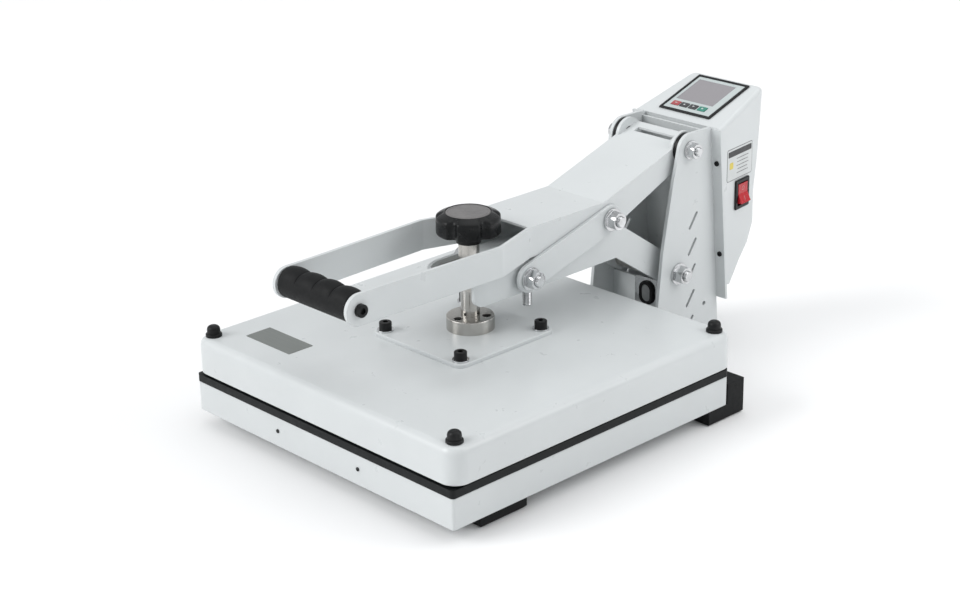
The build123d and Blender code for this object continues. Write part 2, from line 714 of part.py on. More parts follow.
def pressure_plate():
    plate = rounded_block(PRESS_PLATE, PRESS_PLATE, (COVER_TOP, PRESS_PLATE_TOP), 9.0, PLATEN_Y)
    plate = fillet(plate.edges().group_by(Axis.Z)[-1], 1.2)
    for at in press_bolt_points():
        plate -= post(4.1, at, (COVER_TOP - 1, PRESS_PLATE_TOP + 1))
    for at in hub_screw_points():
        plate -= post(2.6, at, (COVER_TOP - 1, PRESS_PLATE_TOP + 1))
    return plate


def pressure_bolts():
    base = PRESS_PLATE_TOP + 1.8
    shank = base - HEATER_Z - 4.5
    return [socket_screw(at, base, 6.5, 8.0, 4.0, shank) for at in press_bolt_points()]


def pressure_washers():
    low, high = PRESS_PLATE_TOP, PRESS_PLATE_TOP + 1.8
    return [post(8.5, at, (low, high)) - post(4.05, at, (low - 1, high + 1))
            for at in press_bolt_points()]


def screw_hub():
    """Thrust hub on the pressure plate that the screw's end turns in."""
    at = (0.0, SCREW_Y)
    hub = post(HUB_R, at, (PRESS_PLATE_TOP, HUB_TOP))
    hub = fillet(hub.edges().sort_by(Axis.Z)[-1], 1.5)
    hub -= post(SCREW_R + RUN, at, (PRESS_PLATE_TOP + 4.0, HUB_TOP + 1.0))
    for screw_at in hub_screw_points():
        hub -= post(4.6, screw_at, (HUB_TOP - 6.0, HUB_TOP + 1.0))
        hub -= post(2.6, screw_at, (PRESS_PLATE_TOP - 1.0, HUB_TOP))
    return hub


def hub_screws():
    return [socket_screw(at, HUB_TOP - 6.0, 4.4, 4.5, 2.5, HUB_H - 6.0 + PRESS_PLATE_T)
            for at in hub_screw_points()]


# ---------------------------------------------------------------- pressure knob
KNOB_R = 33.2
KNOB_TOP = 224.0
KNOB_LOW = 200.0
KNOB_STEM_Z = 191.5
COLLAR_R = 10.6
LOBES = 6
LOBE_TURN = -43.0             # where the first lobe stands, in degrees from +X


def knob_lobes():
    """Round lobes with hollows between them, and a top that slopes to the cap."""
    body = Circle(KNOB_R)
    for lobe in range(LOBES):
        turn = radians(360 / LOBES * (lobe + 0.5) + LOBE_TURN)
        body -= Pos((KNOB_R + 1.5) * cos(turn), (KNOB_R + 1.5) * sin(turn)) * Circle(5.6)
    body = fillet(body.vertices(), 2.5)
    lump = Pos(0, SCREW_Y, KNOB_LOW) * extrude(body, KNOB_TOP - KNOB_LOW)
    cone = Pos(0, SCREW_Y, KNOB_TOP) * Cone(KNOB_R + 6.0, 24.0, 8.0,
                                            align=(Align.CENTER, Align.CENTER, Align.MAX))
    lump &= cone + post(KNOB_R + 6.0, (0.0, SCREW_Y), (KNOB_LOW - 5.0, KNOB_TOP - 8.0))
    return fillet(lump.edges().group_by(Axis.Z)[0], 3.0)


def pressure_knob():
    at = (0.0, SCREW_Y)
    knob = knob_lobes() + post(12.5, at, (KNOB_STEM_Z, KNOB_LOW + 1.0))
    knob -= post(23.0, at, (KNOB_TOP - 2.0, KNOB_TOP + 1.0))
    knob -= post(SCREW_R + 0.02, at, (KNOB_STEM_Z - 1.0, KNOB_TOP - 8.0))
    return knob


def knob_cap():
    at = (0.0, SCREW_Y)
    cap = post(22.7, at, (KNOB_TOP - 2.0, KNOB_TOP - 0.4))
    return fillet(cap.edges().sort_by(Axis.Z)[-1], 0.7)


def pressure_screw():
    """Screw with a plain end in the hub and its collar under the knob."""
    at = (0.0, SCREW_Y)
    screw = post(SCREW_R, at, (PRESS_PLATE_TOP + 4.3, KNOB_TOP - 8.5))
    return screw + post(COLLAR_R, at, (NUT_BLOCK_Z[1] + 0.5, KNOB_STEM_Z))


# ---------------------------------------------------------------- control box
BOX_BACK = [(408.5, 207.0), (402.0, 163.0), (402.5, 127.0), (391.5, 104.0), (374.0, 86.0),
            (358.0, 66.0)]    # the back, from the top down, as (Y, Z)


def box_face(shrink=0.0, open_front=0.0):
    """Side view of the control box, or of its hollow."""
    front_top = BOX_FRONT_Y - open_front
    front_foot = rear_y(BOX_FOOT_Z) + FLANGE_T - open_front
    back = [(y - shrink, z) for y, z in BOX_BACK[:-1]]
    back.append((BOX_BACK[-1][0] - shrink, BOX_BACK[-1][1] + 1.4 * shrink))
    front_z = BOX_TOP_FRONT_Z - shrink - open_front * tan(PANEL_TILT)
    face = outline([
        (front_top, front_z),
        (BOX_BACK_Y - shrink, BOX_TOP_BACK_Z - 1.4 * shrink), *back,
        (front_foot, BOX_FOOT_Z + shrink)])
    soft = [v for v in face.vertices() if v.X > 370.0 and v.Y < 230.0]
    return fillet(soft, 12.0)


def box_solid(shrink=0.0, open_front=0.0):
    """The control box, or its hollow, with round back corners and a softer top edge."""
    solid = box_plan(shrink) & side_plate(box_face(shrink, open_front), (-80.0, 80.0))
    back_edges = [edge for edge in solid.edges()
                  if abs(edge.center().X) > 30.0 and edge.center().Y > 365.0 and edge.center().Z < 262.0]
    solid = fillet(back_edges, BOX_BACK_R - shrink)
    top_edges = [edge for edge in solid.edges()
                 if edge.center().Z > 262.0 and 345.0 < edge.center().Y]
    return fillet(top_edges, BOX_TOP_R - shrink)


def box_plan(shrink=0.0):
    """Plan view of the control box: it narrows towards the back."""
    slope = (BOX_FRONT_X - BOX_BACK_X) / (BOX_BACK_Y - BOX_FRONT_Y)
    ahead, behind = BOX_FRONT_Y - 20.0, BOX_BACK_Y + 5.0
    wide = BOX_FRONT_X + slope * 20.0 - shrink
    narrow = BOX_BACK_X - slope * 5.0 - shrink
    return plan_plate([(-wide, ahead), (wide, ahead), (narrow, behind), (-narrow, behind)], (20.0, 320.0))


def control_box_shell():
    shell = box_solid() - box_solid(BOX_SKIN, 5.0)
    shell -= panel_place(0.0) * Pos(0, 0, -10.0) * Box(62.0, 62.0, 40.0)
    shell -= wall_place(0.0) * Box(SWITCH_W - 4.0, SWITCH_H - 4.0, 30.0)
    return shell


def panel_place(lift):
    """Place on the sloping top panel, at the display's centre, X across and Y up the slope."""
    middle = 372.0
    z = BOX_TOP_FRONT_Z + (middle - BOX_FRONT_Y) * tan(PANEL_TILT)
    place = Pos(0, middle, z) * Rot(degrees(PANEL_TILT), 0, 0)
    return place * Pos(0, 0, lift)


SWITCH_AT = (371.0, 169.0)    # (Y, Z) of the power switch on the right-hand wall
SWITCH_W = 28.0
SWITCH_H = 34.0
ROCKER_PIN_R = 1.2
ROCKER_PIN_HALF = 11.2


def wall_place(lift):
    """Place at the switch on the right-hand wall: X backwards along it, Y up, Z outwards."""
    y, z = SWITCH_AT
    x = BOX_FRONT_X - (y - BOX_FRONT_Y) * tan(WALL_TURN)
    outward = (cos(WALL_TURN), sin(WALL_TURN), 0.0)
    along = (-sin(WALL_TURN), cos(WALL_TURN), 0.0)
    plane = Plane(origin=(x, y, z), x_dir=along, z_dir=outward)
    return plane.offset(lift).location


def control_box_front():
    """Plate that closes the box on the side of the column."""
    face = rear_strip((BOX_FOOT_Z + 2.0, BOX_TOP_FRONT_Z - BOX_SKIN - 0.1), BOX_SKIN, -FLANGE_T)
    plate = side_plate(face, (-BOX_FRONT_X, BOX_FRONT_X)) & box_plan(BOX_SKIN + 0.15)
    for x in (-FLANGE_SCREW_X, FLANGE_SCREW_X):
        for z in FLANGE_SCREW_ZS:
            plate -= flange_hole(x, z)
    return plate


BEZEL = 72.0
BEZEL_H = 1.8
BEZEL_RIM = 3.0
LCD_W = 52.0
LCD_H = 42.0
LCD_AT = (-3.0, 7.0)
LCD_TOP = 0.9
BUTTON_W = 10.5
BUTTON_D = 7.5
BUTTON_Y = -22.5
BUTTON_XS = (-21.6, -9.5, 3.0, 15.8)
BUTTON_NAMES = ("red", "left", "right", "green")
BUTTON_LOW = -1.5
BUTTON_TOP = 1.9
PANEL_H = 1.0
BOARD_POSTS = ((-28.5, -28.5), (28.5, -28.5), (28.5, 28.5))
BOARD_DROP = 8.0              # the board's middle is this far under the shell's top


def display_bezel():
    place = panel_place(0.0)
    frame = place * extrude(RectangleRounded(BEZEL, BEZEL, 1.0), BEZEL_H)
    frame = chamfer(frame.faces().sort_by(Axis.Z)[-1].edges(), 0.4)
    inside = BEZEL - 2 * BEZEL_RIM
    frame -= place * Pos(0, 0, -1) * extrude(Rectangle(inside, inside), BEZEL_H + 2)
    return frame


def display_panel():
    """Keypad plate inside the bezel: openings for screen and buttons, posts for the board."""
    inside = BEZEL - 2 * BEZEL_RIM - 0.4
    place = panel_place(0.0)
    plate = place * extrude(Rectangle(inside, inside), PANEL_H)
    plate -= place * Pos(*LCD_AT) * extrude(Rectangle(LCD_W, LCD_H), 6)
    for x in BUTTON_XS:
        plate -= place * Pos(x, BUTTON_Y, 0) * extrude(Rectangle(BUTTON_W + 0.6, BUTTON_D + 0.6), 6)
    post_l = BOARD_DROP - 0.8
    for x, y in BOARD_POSTS:
        plate += place * Pos(x, y, -post_l / 2) * Cylinder(2.0, post_l)
    return plate


def display_screen():
    """Display module: it stands on the board and fills the keypad plate's window."""
    back = 0.8 - BOARD_DROP
    place = panel_place(back)
    return place * Pos(*LCD_AT) * extrude(Rectangle(LCD_W - 0.3, LCD_H - 0.3), LCD_TOP - back)


def keypad_button(x):
    face = RectangleRounded(BUTTON_W, BUTTON_D, 1.0)
    key = panel_place(0.0) * Pos(x, BUTTON_Y, BUTTON_LOW) * extrude(face, BUTTON_TOP - BUTTON_LOW)
    return fillet(key.faces().sort_by(Axis.Z)[-1].edges(), 0.5)


def control_board():
    """Controller board under the display, with its parts."""
    place = panel_place(-BOARD_DROP)
    board = place * Box(60.0, 60.0, 1.6)
    board += place * Pos(-16, 14, -4.8) * Box(14, 10, 8.0)
    board += place * Pos(14, -10, -3.8) * Box(20, 14, 6.0)
    return board


def rocker_axle(radius, half):
    """A cylinder on the rocker's axis, along the wall."""
    return wall_place(0.0) * Rot(0, 90, 0) * Cylinder(radius, 2 * half)


def switch_bezel():
    frame = wall_place(0.0) * extrude(RectangleRounded(SWITCH_W, SWITCH_H, 2.0), 2.4)
    frame = chamfer(frame.faces().sort_by(Axis.X)[-1].edges(), 0.8)
    body = wall_place(-22.0) * extrude(Rectangle(SWITCH_W - 5.0, SWITCH_H - 5.0), 22.5)
    mouth = wall_place(-9.0) * extrude(Rectangle(SWITCH_W - 8.0, SWITCH_H - 8.0), 20.0)
    return frame + body - mouth - rocker_axle(ROCKER_PIN_R + RUN, SWITCH_W / 2 - 2.0)


ROCKER_TILT = 12.0            # degrees each way from level
ROCKER_HALF = 11.0
ROCKER_OUT = 5.0


def switch_rocker():
    """Red rocker with its lower end out, and the two pins it turns on."""
    width = SWITCH_W - 9.4
    half = ROCKER_HALF
    side = make_face(Polyline(
        (-half, ROCKER_OUT), (0.0, ROCKER_OUT - 2.4), (half, ROCKER_OUT),
        (half - 1.5, -6.0), (1.5 - half, -6.0), close=True))
    # drawn with its first axis up the wall and its second outwards
    place = wall_place(0.0) * Pos(-width / 2, 0, 0) * Rot(0, 90, 0) * Rot(0, 0, 90)
    return place * Rot(0, 0, -ROCKER_TILT) * extrude(side, width) + rocker_axle(ROCKER_PIN_R, ROCKER_PIN_HALF)


# ---------------------------------------------------------------- write every node
def main():
    os.makedirs("parts", exist_ok=True)

    write("base_tray", base_tray())
    write("tray_screws", *tray_screws())
    write("base_rails", *both_sides(base_rail()))
    write("base_plate", base_plate())
    write("base_plate_bolts", *base_plate_bolts())
    write("feet_front", *feet_front())
    write("feet_rear", *feet_rear())
    write("column_feet", *column_feet())
    write("silicone_pad", silicone_pad())

    side = column_side()
    write("column_side_right", side)
    write("column_side_left", mirrored(side))
    write("column_webs", column_back(), column_front_web())
    write("column_bolts", *column_bolts())
    write("cable_gland", cable_gland())
    write("gland_plate", gland_plate())
    write("flange_screws", *flange_screws())

    write("lever_pivot_rod", through_pin(LEVER_PIVOT, TOP_BOLT_R, COLUMN_X, TOP_NUT_T))
    write("lever_pivot_nuts", *pivot_nuts(LEVER_PIVOT, COLUMN_X, TOP_NUT_AF, TOP_BOLT_R, TOP_NUT_T),
          *pivot_washers(LEVER_PIVOT, COLUMN_X, TOP_WASHER_R, TOP_BOLT_R))
    write("arm_pivot_bolt", through_pin(ARM_PIVOT, BOLT_R, COLUMN_X, NUT_T))
    write("arm_pivot_nuts", *pivot_nuts(ARM_PIVOT, COLUMN_X, NUT_AF, BOLT_R, NUT_T),
          *pivot_washers(ARM_PIVOT, COLUMN_X, WASHER_R, BOLT_R))

    write("arm_frame", arm_frame())
    write("screw_nut_block", screw_nut_block())
    write("arm_pivot_bush", arm_pivot_bush())
    write("arm_toe_bush", arm_toe_bush())
    write("levelling_bolts", *levelling_bolts())

    write("lever_frame", lever_frame())
    write("lever_bushes", *lever_bushes())
    write("handle_rod", handle_rod())
    write("handle_grip", handle_grip())
    write("handle_screws", *handle_screws())
    write("link_pivot_bolt", through_pin(LINK_PIVOT, BOLT_R, LINK_X, NUT_T))
    write("link_pivot_nuts", *pivot_nuts(LINK_PIVOT, LINK_X, NUT_AF, BOLT_R, NUT_T),
          *pivot_washers(LINK_PIVOT, LINK_X + REST_GAP, WASHER_R, BOLT_R))

    write("link_plates", *both_sides(link_plate()))
    write("toe_bolts", *toe_bolts())
    write("toe_nuts", *pivot_nuts(TOE_PIVOT, LINK_X, NUT_AF, BOLT_R, NUT_T),
          *pivot_washers(TOE_PIVOT, LINK_X, WASHER_R, BOLT_R))

    write("platen_cover", platen_cover())
    write("heating_plate", heating_plate())
    write("insulation_blanket", insulation_blanket())
    write("platen_spacers", *platen_spacers())
    write("cover_studs", *cover_studs())
    write("dome_nuts", *dome_nuts())
    write("pressure_plate", pressure_plate())
    write("pressure_bolts", *pressure_bolts())
    write("pressure_washers", *pressure_washers())
    write("screw_hub", screw_hub())
    write("hub_screws", *hub_screws())

    write("pressure_knob", pressure_knob(), knob_cap())
    write("pressure_screw", pressure_screw())

    write("control_box_shell", control_box_shell())
    write("control_box_front", control_box_front())
    write("display_bezel", display_bezel())
    write("display_panel", display_panel())
    write("display_screen", display_screen())
    for name, x in zip(BUTTON_NAMES, BUTTON_XS):
        write(f"button_{name}", keypad_button(x))
    write("control_board", control_board())
    write("switch_bezel", switch_bezel())
    write("switch_rocker", switch_rocker())


main()
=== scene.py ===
import json
from math import atan2, cos, pi, radians, sin

import bmesh
import bpy
from mathutils import Matrix, Vector


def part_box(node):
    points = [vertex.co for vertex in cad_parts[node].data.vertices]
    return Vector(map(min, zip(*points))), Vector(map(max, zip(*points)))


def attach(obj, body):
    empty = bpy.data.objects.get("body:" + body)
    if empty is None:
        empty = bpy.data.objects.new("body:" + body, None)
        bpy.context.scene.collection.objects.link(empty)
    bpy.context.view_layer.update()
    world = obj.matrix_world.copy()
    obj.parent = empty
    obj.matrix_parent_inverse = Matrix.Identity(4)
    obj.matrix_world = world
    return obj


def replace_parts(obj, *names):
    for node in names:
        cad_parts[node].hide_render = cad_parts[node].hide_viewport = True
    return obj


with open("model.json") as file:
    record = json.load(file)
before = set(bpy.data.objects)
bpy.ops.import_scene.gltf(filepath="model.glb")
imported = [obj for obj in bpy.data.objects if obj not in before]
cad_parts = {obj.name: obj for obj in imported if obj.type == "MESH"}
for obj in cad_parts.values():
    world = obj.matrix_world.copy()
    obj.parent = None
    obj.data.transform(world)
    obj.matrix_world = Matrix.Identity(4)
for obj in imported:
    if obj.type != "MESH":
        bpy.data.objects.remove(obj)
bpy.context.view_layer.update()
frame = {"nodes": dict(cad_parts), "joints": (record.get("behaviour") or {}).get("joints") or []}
nodes = frame["nodes"]
joints = {joint["name"]: joint for joint in frame["joints"]}
MM = 0.001


def middle(node):
    """Centre of a CAD node's box at rest."""
    low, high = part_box(node)
    return (low + high) / 2


# ---------------------------------------------------------------- node helpers
def new_material(name, color, rough, metal=0.0):
    """A Principled material; returns it with its tree and shader."""
    mat = bpy.data.materials.new(name)
    mat.use_nodes = True
    tree = mat.node_tree
    shader = tree.nodes["Principled BSDF"]
    shader.inputs["Base Color"].default_value = (*color, 1.0)
    shader.inputs["Roughness"].default_value = rough
    shader.inputs["Metallic"].default_value = metal
    return mat, tree, shader


def add(tree, kind, **values):
    """Add a node; values named like its sockets are set, the others are attributes."""
    node = tree.nodes.new(kind)
    for key, value in values.items():
        if hasattr(node, key):
            setattr(node, key, value)
        else:
            node.inputs[key.replace("_", " ")].default_value = value
    return node


def object_coords(tree, scale=(1, 1, 1), shift=(0, 0, 0)):
    """Object coordinates in metres, scaled and shifted."""
    coords = tree.nodes.new("ShaderNodeTexCoord")
    mapping = tree.nodes.new("ShaderNodeMapping")
    mapping.inputs["Location"].default_value = shift
    mapping.inputs["Scale"].default_value = scale
    tree.links.new(coords.outputs["Object"], mapping.inputs["Vector"])
    return mapping.outputs["Vector"]


def noise(tree, scale, detail=3.0, rough=0.55, stretch=(1, 1, 1)):
    """Value of a noise texture; scale is its features per metre."""
    node = add(tree, "ShaderNodeTexNoise", Scale=scale, Detail=detail, Roughness=rough)
    tree.links.new(object_coords(tree, stretch), node.inputs["Vector"])
    return node.outputs["Fac"]


def spread(tree, source, low, high, start=0.3, end=0.7):
    """Map a 0..1 texture onto a range of values."""
    node = tree.nodes.new("ShaderNodeMapRange")
    for name, value in (("From Min", start), ("From Max", end), ("To Min", low), ("To Max", high)):
        node.inputs[name].default_value = value
    tree.links.new(source, node.inputs["Value"])
    return node.outputs["Result"]


def blend_colors(tree, factor, first, second):
    """Mix of two colours by a 0..1 factor."""
    node = tree.nodes.new("ShaderNodeMix")
    node.data_type = "RGBA"
    node.inputs["A"].default_value = (*first, 1.0)
    node.inputs["B"].default_value = (*second, 1.0)
    tree.links.new(factor, node.inputs["Factor"])
    return node.outputs["Result"]


def feed_color(tree, shader, factor, first, second):
    """Colour the shader with a mix of two colours."""
    tree.links.new(blend_colors(tree, factor, first, second), shader.inputs["Base Color"])


def feed_roughness(tree, shader, source):
    """Let a texture set the shader's roughness."""
    tree.links.new(source, shader.inputs["Roughness"])


def brick_grid(tree, colors, mortar, width, height):
    """A grid of cells: colours of two cells and the lines, then line, cell width and height in metres."""
    grid = add(tree, "ShaderNodeTexBrick", Scale=1.0)
    for name, color in zip(("Color1", "Color2", "Mortar"), colors):
        grid.inputs[name].default_value = (*color, 1)
    for name, value in (("Mortar Size", mortar), ("Brick Width", width), ("Row Height", height)):
        grid.inputs[name].default_value = value
    tree.links.new(object_coords(tree), grid.inputs["Vector"])
    return grid


BEVEL_SAMPLES = 8


def bump(tree, shader, height, strength, distance, edge=0.0):
    """Bump from a height, over edges softened by a bevel of the given radius."""
    node = tree.nodes.new("ShaderNodeBump")
    node.inputs["Strength"].default_value = strength
    node.inputs["Distance"].default_value = distance
    tree.links.new(height, node.inputs["Height"])
    if edge:
        bevel = tree.nodes.new("ShaderNodeBevel")
        bevel.samples = BEVEL_SAMPLES
        bevel.inputs["Radius"].default_value = edge
        tree.links.new(bevel.outputs["Normal"], node.inputs["Normal"])
    tree.links.new(node.outputs["Normal"], shader.inputs["Normal"])


# ---------------------------------------------------------------- materials
def white_coat():
    """Satin powder coat: faint orange peel, slightly cloudy."""
    mat, tree, shader = new_material("white_coat", (0.61, 0.635, 0.64), 0.33)
    cloud = spread(tree, noise(tree, 14.0, 4.0), 0.0, 1.0)
    feed_color(tree, shader, cloud, (0.615, 0.64, 0.645), (0.59, 0.615, 0.62))
    feed_roughness(tree, shader, spread(tree, noise(tree, 60.0, 5.0), 0.27, 0.40))
    bump(tree, shader, noise(tree, 750.0, 2.0), 0.05, 0.00025, 0.0007)
    shader.inputs["Coat Weight"].default_value = 0.12
    shader.inputs["Coat Roughness"].default_value = 0.2
    return mat


def zinc():
    """Bright zinc plate with fine drag marks."""
    mat, tree, shader = new_material("zinc", (0.66, 0.67, 0.68), 0.22, 1.0)
    tint = spread(tree, noise(tree, 90.0, 3.0), 0.0, 1.0)
    feed_color(tree, shader, tint, (0.68, 0.69, 0.70), (0.50, 0.505, 0.51))
    feed_roughness(tree, shader, spread(tree, noise(tree, 400.0, 4.0), 0.10, 0.24))
    bump(tree, shader, noise(tree, 900.0, 3.0, 0.6, (1, 0.15, 0.15)), 0.04, 0.0002, 0.0004)
    return mat


def turned_steel(name, centre, axis):
    """Lathe-turned steel: fine rings round an axis through centre."""
    mat, tree, shader = new_material(name, (0.60, 0.57, 0.53), 0.26, 1.0)
    wave = add(tree, "ShaderNodeTexWave", wave_type="RINGS", rings_direction=axis,
               wave_profile="SIN", Scale=420.0, Distortion=0.6, Detail=2.0)
    tree.links.new(object_coords(tree, (1, 1, 1), tuple(-c for c in centre)), wave.inputs["Vector"])
    stain = spread(tree, noise(tree, 45.0, 5.0), 0.0, 1.0)
    feed_color(tree, shader, stain, (0.56, 0.55, 0.53), (0.44, 0.42, 0.39))
    feed_roughness(tree, shader, spread(tree, wave.outputs["Fac"], 0.20, 0.34, 0.0, 1.0))
    bump(tree, shader, wave.outputs["Fac"], 0.16, 0.0001, 0.0005)
    return mat


def black_oxide():
    """Black-oxide screws, worn a little lighter in patches."""
    mat, tree, shader = new_material("black_oxide", (0.012, 0.012, 0.013), 0.42, 0.3)
    shader.inputs["Specular IOR Level"].default_value = 0.3
    wear = spread(tree, noise(tree, 160.0, 4.0), 0.0, 1.0, 0.5, 0.8)
    feed_color(tree, shader, wear, (0.008, 0.0085, 0.009), (0.022, 0.022, 0.023))
    feed_roughness(tree, shader, spread(tree, noise(tree, 500.0, 3.0), 0.34, 0.52))
    bump(tree, shader, noise(tree, 1100.0, 3.0), 0.2, 0.0002, 0.0004)
    return mat


def moulded(name, color, second, rough, grain, depth, shine=0.5, edge=0.0005):
    """Rubber or plastic with a moulded grain: colour cloud, grain bump, uneven sheen."""
    mat, tree, shader = new_material(name, color, rough)
    shader.inputs["Specular IOR Level"].default_value = shine
    cloud = spread(tree, noise(tree, 70.0, 4.0), 0.0, 1.0)
    feed_color(tree, shader, cloud, color, second)
    feed_roughness(tree, shader, spread(tree, noise(tree, 240.0, 4.0), rough - 0.06, rough + 0.08))
    bump(tree, shader, noise(tree, grain, 2.0), depth, 0.0003, edge)
    return mat


def brushed_label():
    """Grey foil label brushed along its length."""
    mat, tree, shader = new_material("brushed_label", (0.20, 0.215, 0.205), 0.38, 0.35)
    streak = noise(tree, 500.0, 4.0, 0.6, (0.04, 1, 1))
    tone = spread(tree, streak, 0.0, 1.0)
    feed_color(tree, shader, tone, (0.17, 0.185, 0.175), (0.23, 0.245, 0.235))
    feed_roughness(tree, shader, spread(tree, streak, 0.30, 0.46))
    bump(tree, shader, streak, 0.08, 0.0001)
    return mat


def screen_glass():
    """Unlit display: violet-grey, with a fine dot matrix under a glossy window."""
    mat, tree, shader = new_material("screen_glass", (0.27, 0.26, 0.27), 0.16)
    colors = ((0.29, 0.275, 0.29), (0.27, 0.26, 0.275), (0.24, 0.23, 0.243))
    grid = brick_grid(tree, colors, 0.08 * MM, 0.6 * MM, 0.6 * MM)
    grid.offset = 0.0
    tree.links.new(grid.outputs["Color"], shader.inputs["Base Color"])
    feed_roughness(tree, shader, spread(tree, noise(tree, 120.0, 3.0), 0.12, 0.22))
    shader.inputs["Coat Weight"].default_value = 0.6
    shader.inputs["Coat Roughness"].default_value = 0.06
    return mat


def circuit_board():
    """Green board with a coarse pattern of tracks."""
    mat, tree, shader = new_material("circuit_board", (0.03, 0.16, 0.07), 0.4)
    colors = ((0.02, 0.13, 0.06), (0.03, 0.16, 0.07), (0.06, 0.24, 0.10))
    lines = brick_grid(tree, colors, 0.4 * MM, 6.0 * MM, 3.0 * MM)
    tree.links.new(lines.outputs["Color"], shader.inputs["Base Color"])
    feed_roughness(tree, shader, spread(tree, noise(tree, 300.0), 0.3, 0.5))
    return mat


def fibre_felt():
    """Loose pale insulation, matt and tufted."""
    mat, tree, shader = new_material("fibre_felt", (0.72, 0.68, 0.60), 0.95)
    tuft = noise(tree, 500.0, 6.0, 0.7, (1, 1, 4))
    feed_color(tree, shader, spread(tree, tuft, 0.0, 1.0), (0.76, 0.72, 0.64), (0.62, 0.58, 0.50))
    bump(tree, shader, tuft, 0.6, 0.0008)
    return mat


def stage_paper():
    """Pale matt backdrop."""
    mat, tree, shader = new_material("stage_paper", (0.93, 0.93, 0.93), 0.8)
    tone = spread(tree, noise(tree, 1.2, 2.0), 0.0, 1.0)
    feed_color(tree, shader, tone, (0.935, 0.935, 0.935), (0.925, 0.925, 0.927))
    return mat


WHITE = white_coat()
ZINC = zinc()
HUB_STEEL = turned_steel("hub_steel", tuple(middle("pressure_screw")), "Z")
BUSH_STEEL = turned_steel("bush_steel", tuple(middle("arm_pivot_bush")), "X")
OXIDE = black_oxide()
RUBBER = moulded("black_rubber", (0.006, 0.0065, 0.007), (0.009, 0.0095, 0.010), 0.55, 1500.0, 0.25, 0.18)
SILICONE = moulded("silicone", (0.006, 0.0075, 0.008), (0.009, 0.0105, 0.011), 0.48, 1800.0, 0.12, 0.2)
PLASTIC = moulded("black_plastic", (0.005, 0.0055, 0.006), (0.008, 0.0085, 0.009), 0.30, 1700.0, 0.16, 0.25)
KNOB_CAP = moulded("knob_cap", (0.13, 0.125, 0.125), (0.16, 0.152, 0.15), 0.34, 1400.0, 0.10)
DARK_PLATE = moulded("heater_coat", (0.03, 0.031, 0.032), (0.045, 0.045, 0.046), 0.45, 1200.0, 0.2)
PANEL = moulded("panel_film", (0.50, 0.55, 0.55), (0.46, 0.51, 0.51), 0.42, 900.0, 0.06)
RED = moulded("red_plastic", (0.50, 0.012, 0.022), (0.40, 0.008, 0.015), 0.24, 900.0, 0.05)
ROCKER_INK = moulded("rocker_ink", (0.52, 0.22, 0.22), (0.46, 0.18, 0.18), 0.4, 1500.0, 0.05)
KEY_RED = moulded("key_red", (0.42, 0.075, 0.08), (0.34, 0.06, 0.065), 0.38, 1500.0, 0.1)
KEY_GREEN = moulded("key_green", (0.04, 0.24, 0.18), (0.03, 0.19, 0.14), 0.38, 1500.0, 0.1)
KEY_DARK = moulded("key_dark", (0.05, 0.052, 0.055), (0.035, 0.036, 0.04), 0.4, 1500.0, 0.1)
PALE_INK = moulded("pale_ink", (0.62, 0.64, 0.64), (0.56, 0.58, 0.58), 0.5, 1500.0, 0.05)
DARK_INK = moulded("dark_ink", (0.03, 0.031, 0.033), (0.045, 0.046, 0.048), 0.45, 1500.0, 0.05)
YELLOW_INK = moulded("yellow_ink", (0.70, 0.58, 0.12), (0.64, 0.52, 0.10), 0.5, 1500.0, 0.05)
GREY_INSERT = moulded("grey_insert", (0.20, 0.21, 0.21), (0.15, 0.155, 0.16), 0.5, 1300.0, 0.2)
LABEL = brushed_label()
SCREEN = screen_glass()
BOARD = circuit_board()
FELT = fibre_felt()

FINISH = {
    WHITE: ["base_tray", "base_rails", "base_plate", "column_side_right", "column_side_left",
            "column_webs", "control_box_shell", "control_box_front", "lever_frame", "link_plates",
            "arm_frame", "platen_cover", "pressure_plate"],
    ZINC: ["base_plate_bolts", "column_bolts", "gland_plate", "lever_pivot_rod",
           "lever_pivot_nuts", "arm_pivot_bolt", "arm_pivot_nuts", "link_pivot_bolt",
           "link_pivot_nuts", "toe_bolts", "toe_nuts", "levelling_bolts", "pressure_washers"],
    HUB_STEEL: ["screw_hub", "pressure_screw", "screw_nut_block"],
    BUSH_STEEL: ["handle_rod", "arm_pivot_bush", "arm_toe_bush", "platen_spacers",
                 "cover_studs"],
    OXIDE: ["tray_screws", "flange_screws", "handle_screws", "dome_nuts", "pressure_bolts", "hub_screws"],
    RUBBER: ["feet_front", "feet_rear", "column_feet", "cable_gland", "handle_grip"],
    SILICONE: ["silicone_pad"],
    PLASTIC: ["pressure_knob", "display_bezel", "switch_bezel", "lever_bushes"],
    DARK_PLATE: ["heating_plate"],
    PANEL: ["display_panel"],
    SCREEN: ["display_screen"],
    BOARD: ["control_board"],
    FELT: ["insulation_blanket"],
    RED: ["switch_rocker"],
    KEY_RED: ["button_red"],
    KEY_GREEN: ["button_green"],
    KEY_DARK: ["button_left", "button_right"],
}
for finish, names in FINISH.items():
    for name in names:
        nodes[name].data.materials.clear()
        nodes[name].data.materials.append(finish)


# ---------------------------------------------------------------- mesh helpers
MERGE_DISTANCE = 1e-7
SHARP_ANGLE = radians(38)
THREAD_DEPTH = 0.32           # share of the pitch
THREAD_STEPS = 6              # rings to one pitch
PLAIN_STEP = 4.0 * MM         # between rings where there is no thread


